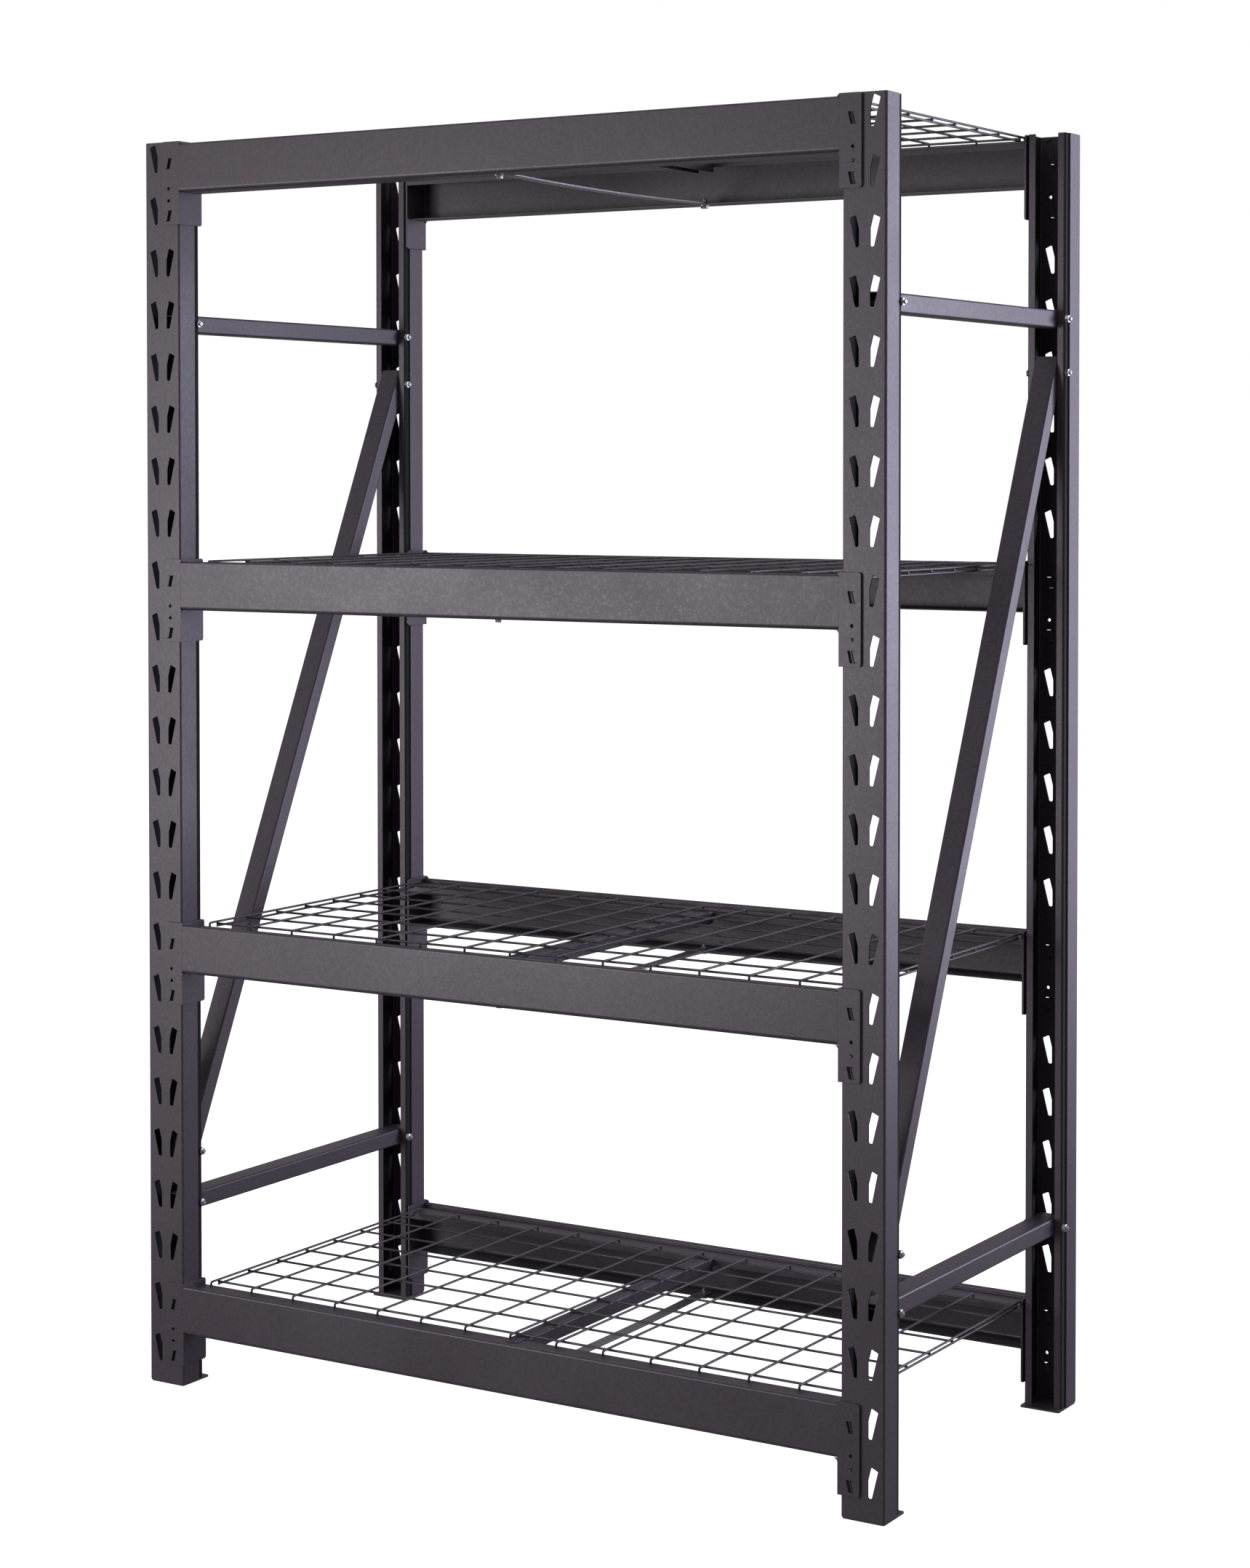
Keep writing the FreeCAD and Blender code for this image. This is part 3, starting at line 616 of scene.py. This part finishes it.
# --- Wire decks -----------------------------------------------------------------------------
def bent_wire(t, given):
    """The centre line of a front-to-rear wire: straight, with both ends turned down."""
    base = line_of_points(t, 4, (0.0, 0.0, 0.0), (0.0, 0.1, 0.0))
    middle = t.math("SUBTRACT", t.node("GeometryNodeInputIndex").outputs[0], 1.5)
    outer = t.math("GREATER_THAN", t.math("ABSOLUTE", middle), 1.0)
    y = t.math("MULTIPLY", t.math("SIGN", middle), given["Foot Reach"])
    z = t.math("MULTIPLY", outer, t.math("MULTIPLY", given["Foot Drop"], -1.0))
    shaped = t.feed(t.node("GeometryNodeSetPosition"), Geometry=base, Position=t.vector(0.0, y, z))
    curve = t.feed(t.node("GeometryNodeMeshToCurve"), Mesh=shaped.outputs[0])
    fillet = t.node("GeometryNodeFilletCurve", mode="POLY")
    t.feed(fillet, Curve=curve.outputs[0], Count=4, Radius=given["Bend"], Limit_Radius=True)
    return fillet.outputs[0]


def straight_wire(t, along_x, reach):
    """The centre line of a straight wire, side to side or front to rear."""
    node = t.node("GeometryNodeCurvePrimitiveLine", mode="POINTS")
    back = t.math("MULTIPLY", reach, -1.0)
    start = t.vector(back) if along_x else t.vector(0.0, back)
    end = t.vector(reach) if along_x else t.vector(0.0, reach)
    t.feed(node, Start=start, End=end)
    return node.outputs[0]


def deck_tree():
    """A welded deck: bent wires, cross wires under them, a wire under each end, and welds."""
    numbers = ("Middle", "Long Pitch", "Cross Pitch", "Wire Radius", "Foot Reach", "Foot Drop", "Bend",
               "Tail", "Long Height", "Cross Height", "Low Height", "Weld Radius")
    inputs = [("Long Wires", "Int"), ("Cross Wires", "Int")]
    inputs += [(label, "Float") for label in numbers] + [("Finish", "Material")]
    tree, t, given = geometry_tree("Wire deck", inputs)
    radius = given["Wire Radius"]
    half_x = half_span(t, given["Long Wires"], given["Long Pitch"])
    half_y = half_span(t, given["Cross Wires"], given["Cross Pitch"])
    minus_x = t.math("MULTIPLY", half_x, -1.0)
    minus_y = t.math("MULTIPLY", half_y, -1.0)
    long_points = line_of_points(t, given["Long Wires"], t.vector(minus_x, 0.0, given["Long Height"]),
                                 t.vector(given["Long Pitch"]))
    cross_points = line_of_points(t, given["Cross Wires"], t.vector(0.0, minus_y, given["Cross Height"]),
                                  t.vector(0.0, given["Cross Pitch"]))
    low_points = line_of_points(t, 2, t.vector(minus_x, 0.0, given["Low Height"]),
                                t.vector(t.math("MULTIPLY", half_x, 2.0)))
    reach_x = t.math("ADD", half_x, given["Tail"])
    reach_y = t.math("ADD", half_y, given["Tail"])
    wires = [placed(t, long_points, smoothed(t, swept(t, bent_wire(t, given), radius))),
             placed(t, cross_points, smoothed(t, swept(t, straight_wire(t, True, reach_x), radius))),
             placed(t, low_points, smoothed(t, swept(t, straight_wire(t, False, reach_y), radius)))]
    crossings = t.node("GeometryNodeMeshGrid")
    t.feed(crossings, Size_X=t.math("MULTIPLY", half_x, 2.0), Size_Y=t.math("MULTIPLY", half_y, 2.0),
           Vertices_X=given["Long Wires"], Vertices_Y=given["Cross Wires"])
    weld_height = t.math("MULTIPLY", t.math("ADD", given["Long Height"], given["Cross Height"]), 0.5)
    lifted = t.feed(t.node("GeometryNodeTransform"), Geometry=crossings.outputs[0],
                    Translation=t.vector(0.0, 0.0, weld_height))
    nugget = t.feed(t.node("GeometryNodeMeshIcoSphere"), Radius=given["Weld Radius"], Subdivisions=1)
    wires.append(placed(t, lifted.outputs[0], smoothed(t, nugget.outputs[0])))
    joined = t.node("GeometryNodeJoinGeometry")
    for part in wires:
        t.tree.links.new(part, joined.inputs[0])
    placed_deck = t.feed(t.node("GeometryNodeTransform"), Geometry=joined.outputs[0],
                         Translation=t.vector(given["Middle"]))
    close_tree(t, placed_deck.outputs[0], given["Finish"])
    return tree


class SHELVING_OT_wire_decks(bpy.types.Operator):
    """Build the welded wire deck of every level"""
    bl_idname = "shelving.wire_decks"
    bl_label = "Wire decks"

    def execute(self, context):
        deck = context.scene.shelving_deck
        finish = coat_material("wire_coat", context.scene.shelving_coat.wire, -0.06, 0.05)
        tree = deck_tree()
        layer = deck.wire - deck.sink
        for node in DECKS:
            low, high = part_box(node)
            top = high.z - deck.wire / 2
            inputs = {"Long Wires": deck.long_wires, "Cross Wires": deck.cross_wires,
                      "Long Pitch": deck.pitch_x, "Cross Pitch": deck.pitch_y,
                      "Wire Radius": deck.wire / 2, "Foot Reach": high.y - deck.wire / 2,
                      "Middle": (low.x + high.x) / 2, "Foot Drop": top - LEDGE_TOP[level_of(node)],
                      "Bend": deck.bend, "Tail": deck.tail,
                      "Long Height": top, "Cross Height": top - layer, "Low Height": top - 2 * layer,
                      "Weld Radius": deck.nugget, "Finish": finish}
            applied(node + "_wires", points_mesh("seed", [(0, 0, 0)]), tree, inputs,
                    NODE_BODY[node], [node])
        return {"FINISHED"}


# --- Fasteners ------------------------------------------------------------------------------
def fastener_tree():
    """Copies of one fastener on given points."""
    tree, t, given = geometry_tree("Fasteners", [("Fastener", "Object"), ("Finish", "Material")])
    shape = t.feed(t.node("GeometryNodeObjectInfo"), Object=given["Fastener"])
    close_tree(t, placed(t, given["Geometry"], shape.outputs["Geometry"]), given["Finish"])
    return tree


def dome_rings(base, height, radius):
    """Rings of a low round head that rises from its base towards -X, with a small flat on top."""
    flat = 0.3
    rings = [(base - height, radius * flat)]
    for turn in (0.35, 0.7, 1.0, 1.25, 1.5):
        x = base - height * math.cos(turn) ** 0.7
        rings.append((x, radius * (flat + (1 - flat) * math.sin(turn))))
    return rings + [(base, radius)]


def brace_fastener(fastener, leg):
    """A bolt with a low round head at -X, and a nut with the bolt's threaded end at +X."""
    bm = bmesh.new()
    nut_top = leg + fastener.nut_height
    shank = fastener.bolt / 2 * 0.94
    turned(bm, dome_rings(-leg, fastener.head_height, fastener.head / 2), HEAD_SIDES)
    turned(bm, hexagon_rings(leg, nut_top, fastener.nut_width), HEX_SIDES)
    turned(bm, [(-leg - SUNK, shank), (leg + SUNK, shank)], BOLT_SIDES)
    thread = thread_rings(nut_top - 2 * SUNK, nut_top + fastener.bolt_end, fastener.bolt, fastener.pitch)
    turned(bm, thread, BOLT_SIDES)
    return new_object("brace_fastener_shape", finish_mesh(bm, "brace_fastener_shape"))


def bolt_places(node):
    """The middle of each bolt in a group that runs along X, read from the group's own solids."""
    groups = []
    for vertex in NODES[node].data.vertices:
        y, z = vertex.co.y, vertex.co.z
        near = [group for group in groups if math.hypot(group[0][0] - y, group[0][1] - z) < BOLT_GAP]
        if near:
            near[0].append((y, z))
        else:
            groups.append([(y, z)])
    places = []
    for group in groups:
        across = [place[0] for place in group]
        up = [place[1] for place in group]
        places.append(((min(across) + max(across)) / 2, (min(up) + max(up)) / 2))
    return sorted(places)


class SHELVING_OT_brace_fasteners(bpy.types.Operator):
    """Build the bolts and nuts of both side frames"""
    bl_idname = "shelving.brace_fasteners"
    bl_label = "Brace fasteners"

    def execute(self, context):
        fastener = context.scene.shelving_fastener
        tree = fastener_tree()
        for side in SIDES:
            low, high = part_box("post_front_" + side)
            middle_x = (low.x + high.x) / 2
            shape = brace_fastener(fastener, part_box("brace_nuts_" + side)[0].x - middle_x)
            points = [(middle_x, y, z) for y, z in bolt_places("brace_bolts_" + side)]
            applied("brace_fasteners_" + side, points_mesh("places", points), tree,
                    {"Fastener": shape, "Finish": zinc_material()}, FRAME_BODY,
                    ["brace_bolts_" + side, "brace_nuts_" + side])
            bpy.data.objects.remove(shape)
        return {"FINISHED"}


def tie_fastener(fastener):
    """A flanged bolt pointing up, built along X and then stood up, with a nut on the strap."""
    bm = bmesh.new()
    washer = fastener.tie_washer / 2
    thick = fastener.tie_washer_height
    head = hexagon_rings(thick * 0.5, fastener.tie_head_height, fastener.tie_head)
    turned(bm, [([-x for x in along] if isinstance(along, list) else -along, r) for along, r in head],
           HEX_SIDES)
    turned(bm, [(-thick, washer * 0.9), (-thick * 0.7, washer), (-thick * 0.15, washer),
                (0.0, washer * 0.97)], HEAD_SIDES)
    nut_top = fastener.tie_stack + fastener.tie_nut_height
    turned(bm, hexagon_rings(fastener.tie_stack, nut_top, fastener.tie_nut, True), HEX_SIDES)
    thread = thread_rings(-SUNK, nut_top + fastener.tie_bolt_end, fastener.tie_bolt, fastener.tie_pitch)
    turned(bm, thread, TIE_BOLT_SIDES)
    bmesh.ops.rotate(bm, verts=bm.verts, cent=(0, 0, 0), matrix=Matrix.Rotation(-math.pi / 2, 3, "Y"))
    return new_object("tie_fastener_shape", finish_mesh(bm, "tie_fastener_shape"))


class SHELVING_OT_tie_fasteners(bpy.types.Operator):
    """Build the bolts and nuts that hold the tie straps"""
    bl_idname = "shelving.tie_fasteners"
    bl_label = "Tie fasteners"

    def execute(self, context):
        fastener = context.scene.shelving_fastener
        shape = tie_fastener(fastener)
        low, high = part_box("tie_bolts")
        reach = (high.y - low.y - fastener.tie_washer) / 2
        points = []
        for node in sorted(name for name in NODES if name.endswith("beam_front")):
            points += [(0.0, y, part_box(node)[0].z) for y in (-reach, reach)]
        applied("tie_fasteners", points_mesh("places", points), fastener_tree(),
                {"Fastener": shape, "Finish": zinc_material()}, FRAME_BODY,
                ["tie_bolts", "tie_nuts"])
        bpy.data.objects.remove(shape)
        return {"FINISHED"}


# --- Welds ----------------------------------------------------------------------------------
def weld_tree():
    """Overlapping beads along the given edges."""
    tree, t, given = geometry_tree("Weld beads", [("Bead Radius", "Float"), ("Bead Step", "Float"),
                                                  ("Finish", "Material")])
    path = t.feed(t.node("GeometryNodeMeshToCurve"), Mesh=given["Geometry"])
    steps = t.feed(t.node("GeometryNodeCurveToPoints", mode="LENGTH"), Curve=path.outputs[0],
                   Length=given["Bead Step"])
    bead = t.feed(t.node("GeometryNodeMeshUVSphere"), Segments=8, Rings=5, Radius=given["Bead Radius"])
    close_tree(t, placed(t, steps.outputs["Points"], smoothed(t, bead.outputs[0])), given["Finish"])
    return tree


class SHELVING_OT_welds(bpy.types.Operator):
    """Build the weld beads between each beam and its connectors"""
    bl_idname = "shelving.welds"
    bl_label = "Beam welds"

    def execute(self, context):
        fastener = context.scene.shelving_fastener
        inset = fastener.weld * 0.4
        points, edges = [], []
        for node in sorted(name for name in NODES if "_beam_" in name):
            low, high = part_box(node)
            wall = BEAM_SHEET + inset
            y = low.y + wall if node.endswith("front") else high.y - wall
            for x in (low.x + inset, high.x - inset):
                edges.append((len(points), len(points) + 1))
                points += [(x, y, low.z + fastener.weld_low), (x, y, high.z - fastener.weld_high)]
        applied("beam_welds", points_mesh("lines", points, edges), weld_tree(),
                {"Bead Radius": fastener.weld, "Bead Step": fastener.weld_step, "Finish": frame_coat()},
                FRAME_BODY)
        return {"FINISHED"}


# --- Carried-over nodes ---------------------------------------------------------------------
class SHELVING_OT_frame_finish(bpy.types.Operator):
    """Coat the posts, braces and foot plates, with painted shade on the posts' legs and insides"""
    bl_idname = "shelving.frame_finish"
    bl_label = "Frame finish"

    def execute(self, context):
        coat = frame_coat()
        dress([n for n in NODES if n.startswith("foot_plate") or "_brace_" in n], coat)
        dress([n for n in NODES if n.startswith("post")], post_material())
        dress([n for n in NODES if n.startswith(("brace_bolts", "brace_nuts", "tie_bolts", "tie_nuts"))],
              zinc_material())
        return {"FINISHED"}


class SHELVING_OT_level_finish(bpy.types.Operator):
    """Coat the beams, connectors and supports, and finish the tie straps"""
    bl_idname = "shelving.level_finish"
    bl_label = "Level finish"

    def execute(self, context):
        coat = frame_coat()
        dress([n for n in NODES if n.endswith("support") or "_beam_" in n or "_connector_" in n], coat)
        dress([n for n in NODES if n.endswith("tie_strap")], galvanised_material())
        return {"FINISHED"}


# --- Stage ----------------------------------------------------------------------------------
def lamp(name, power, place, aim, size, tint=(1.0, 1.0, 1.0)):
    """A rectangular lamp that the camera doesn't see."""
    light = bpy.data.lights.new(name, "AREA")
    light.shape = "RECTANGLE"
    light.size, light.size_y = size
    light.energy = power
    light.color = tint
    made = bpy.data.objects.new(name, light)
    made.location = place
    made.rotation_euler = (Vector(aim) - Vector(place)).to_track_quat("-Z", "Y").to_euler()
    bpy.context.scene.collection.objects.link(made)
    made.visible_camera = False


def floor_piece(tint, glow):
    """A wide matt floor that glows of itself, but neither lights the unit nor shows in its gloss."""
    bm = bmesh.new()
    bmesh.ops.create_circle(bm, cap_ends=True, segments=96, radius=FLOOR_RADIUS)
    mesh = bpy.data.meshes.new("floor")
    bm.to_mesh(mesh)
    bm.free()
    floor = new_object("floor", mesh)
    material, t, shader = new_material("floor_paint")
    place = t.node("ShaderNodeTexCoord").outputs["Object"]
    t.feed(shader, Base_Color=rgba(tint), Roughness=t.ramp(t.noise(place, 3.0), 0.3, 0.7, 0.7, 0.8))
    shader.inputs["Specular IOR Level"].default_value = 0.2
    shader.inputs["Emission Color"].default_value = WHITE
    shader.inputs["Emission Strength"].default_value = glow
    mesh.materials.append(material)
    floor.visible_diffuse = False
    floor.visible_glossy = False


def sky(strength, ground):
    """White all round; the light it sheds falls off below the horizon."""
    world = bpy.data.worlds.new("studio")
    world.use_nodes = True
    t = Tree(world.node_tree)
    background = world.node_tree.nodes["Background"]
    seen = t.node("ShaderNodeLightPath").outputs["Is Camera Ray"]
    t.put(background.inputs["Color"], t.blend(seen, SKY_TINT, WHITE))
    way = t.node("ShaderNodeSeparateXYZ")
    t.put(way.inputs[0], t.node("ShaderNodeTexCoord").outputs["Generated"])
    shed = t.ramp(way.outputs["Z"], -0.25, 0.35, ground, strength)
    t.feed(background, Strength=t.math("MAXIMUM", seen, shed))
    bpy.context.scene.world = world


class SHELVING_OT_stage(bpy.types.Operator):
    """Build the floor, the lights and the camera"""
    bl_idname = "shelving.stage"
    bl_label = "Stage"

    def execute(self, context):
        stage = context.scene.shelving_stage
        floor_piece(stage.floor, stage.glow)
        sky(stage.sky, stage.ground)
        lamp("key", stage.key, place=(2.45, 2.2, 1.35), aim=(0.6, 0.0, 1.1), size=(1.4, 2.4),
             tint=(0.8, 0.78, 1.0))
        lamp("fill", stage.fill, place=(-1.8, -3.1, 1.0), aim=(0.0, 0.0, 0.75), size=(1.6, 1.6),
             tint=(1.0, 0.96, 1.0))
        lamp("top", stage.top, place=(0.2, -0.6, 4.6), aim=(0.0, 0.0, 0.8), size=(3.0, 3.0))
        camera = bpy.data.objects.new("camera", bpy.data.cameras.new("camera"))
        camera.data.lens = stage.lens
        camera.data.sensor_width = stage.sensor
        camera.data.shift_x, camera.data.shift_y = stage.shift
        camera.data.clip_end = CAMERA_REACH
        camera.location = stage.eye
        camera.rotation_euler = (math.pi / 2 - stage.dip, 0.0, stage.turn)
        context.scene.collection.objects.link(camera)
        context.scene.camera = camera
        context.scene.view_settings.view_transform = "Standard"
        return {"FINISHED"}


# --- Add-on ---------------------------------------------------------------------------------
OPERATORS = (SHELVING_OT_frame_finish, SHELVING_OT_level_finish, SHELVING_OT_wire_decks,
             SHELVING_OT_brace_fasteners, SHELVING_OT_tie_fasteners, SHELVING_OT_welds, SHELVING_OT_stage)
SETTINGS = (("shelving_coat", ShelvingCoatSettings), ("shelving_metal", ShelvingMetalSettings),
            ("shelving_deck", ShelvingDeckSettings), ("shelving_fastener", ShelvingFastenerSettings),
            ("shelving_stage", ShelvingStageSettings))


class SHELVING_PT_panel(bpy.types.Panel):
    """Lists the pieces of the shelving unit and their settings"""
    bl_idname = "SHELVING_PT_panel"
    bl_label = "Boltless Shelving"
    bl_space_type = "VIEW_3D"
    bl_region_type = "UI"
    bl_category = "Shelving"

    def draw(self, context):
        for operator in OPERATORS:
            self.layout.operator(operator.bl_idname)
        for name, settings in SETTINGS:
            box = self.layout.box()
            for key in settings.__annotations__:
                box.prop(getattr(context.scene, name), key)


def register():
    for name, settings in SETTINGS:
        bpy.utils.register_class(settings)
        setattr(bpy.types.Scene, name, PointerProperty(type=settings))
    for made in OPERATORS + (SHELVING_PT_panel,):
        bpy.utils.register_class(made)


def unregister():
    for made in (SHELVING_PT_panel,) + OPERATORS[::-1]:
        bpy.utils.unregister_class(made)
    for name, settings in SETTINGS[::-1]:
        delattr(bpy.types.Scene, name)
        bpy.utils.unregister_class(settings)


def main():
    register()
    bpy.ops.shelving.frame_finish()
    bpy.ops.shelving.level_finish()
    bpy.ops.shelving.wire_decks()
    bpy.ops.shelving.brace_fasteners()
    bpy.ops.shelving.tie_fasteners()
    bpy.ops.shelving.welds()
    bpy.ops.shelving.stage()


if __name__ == "__main__":
    main()
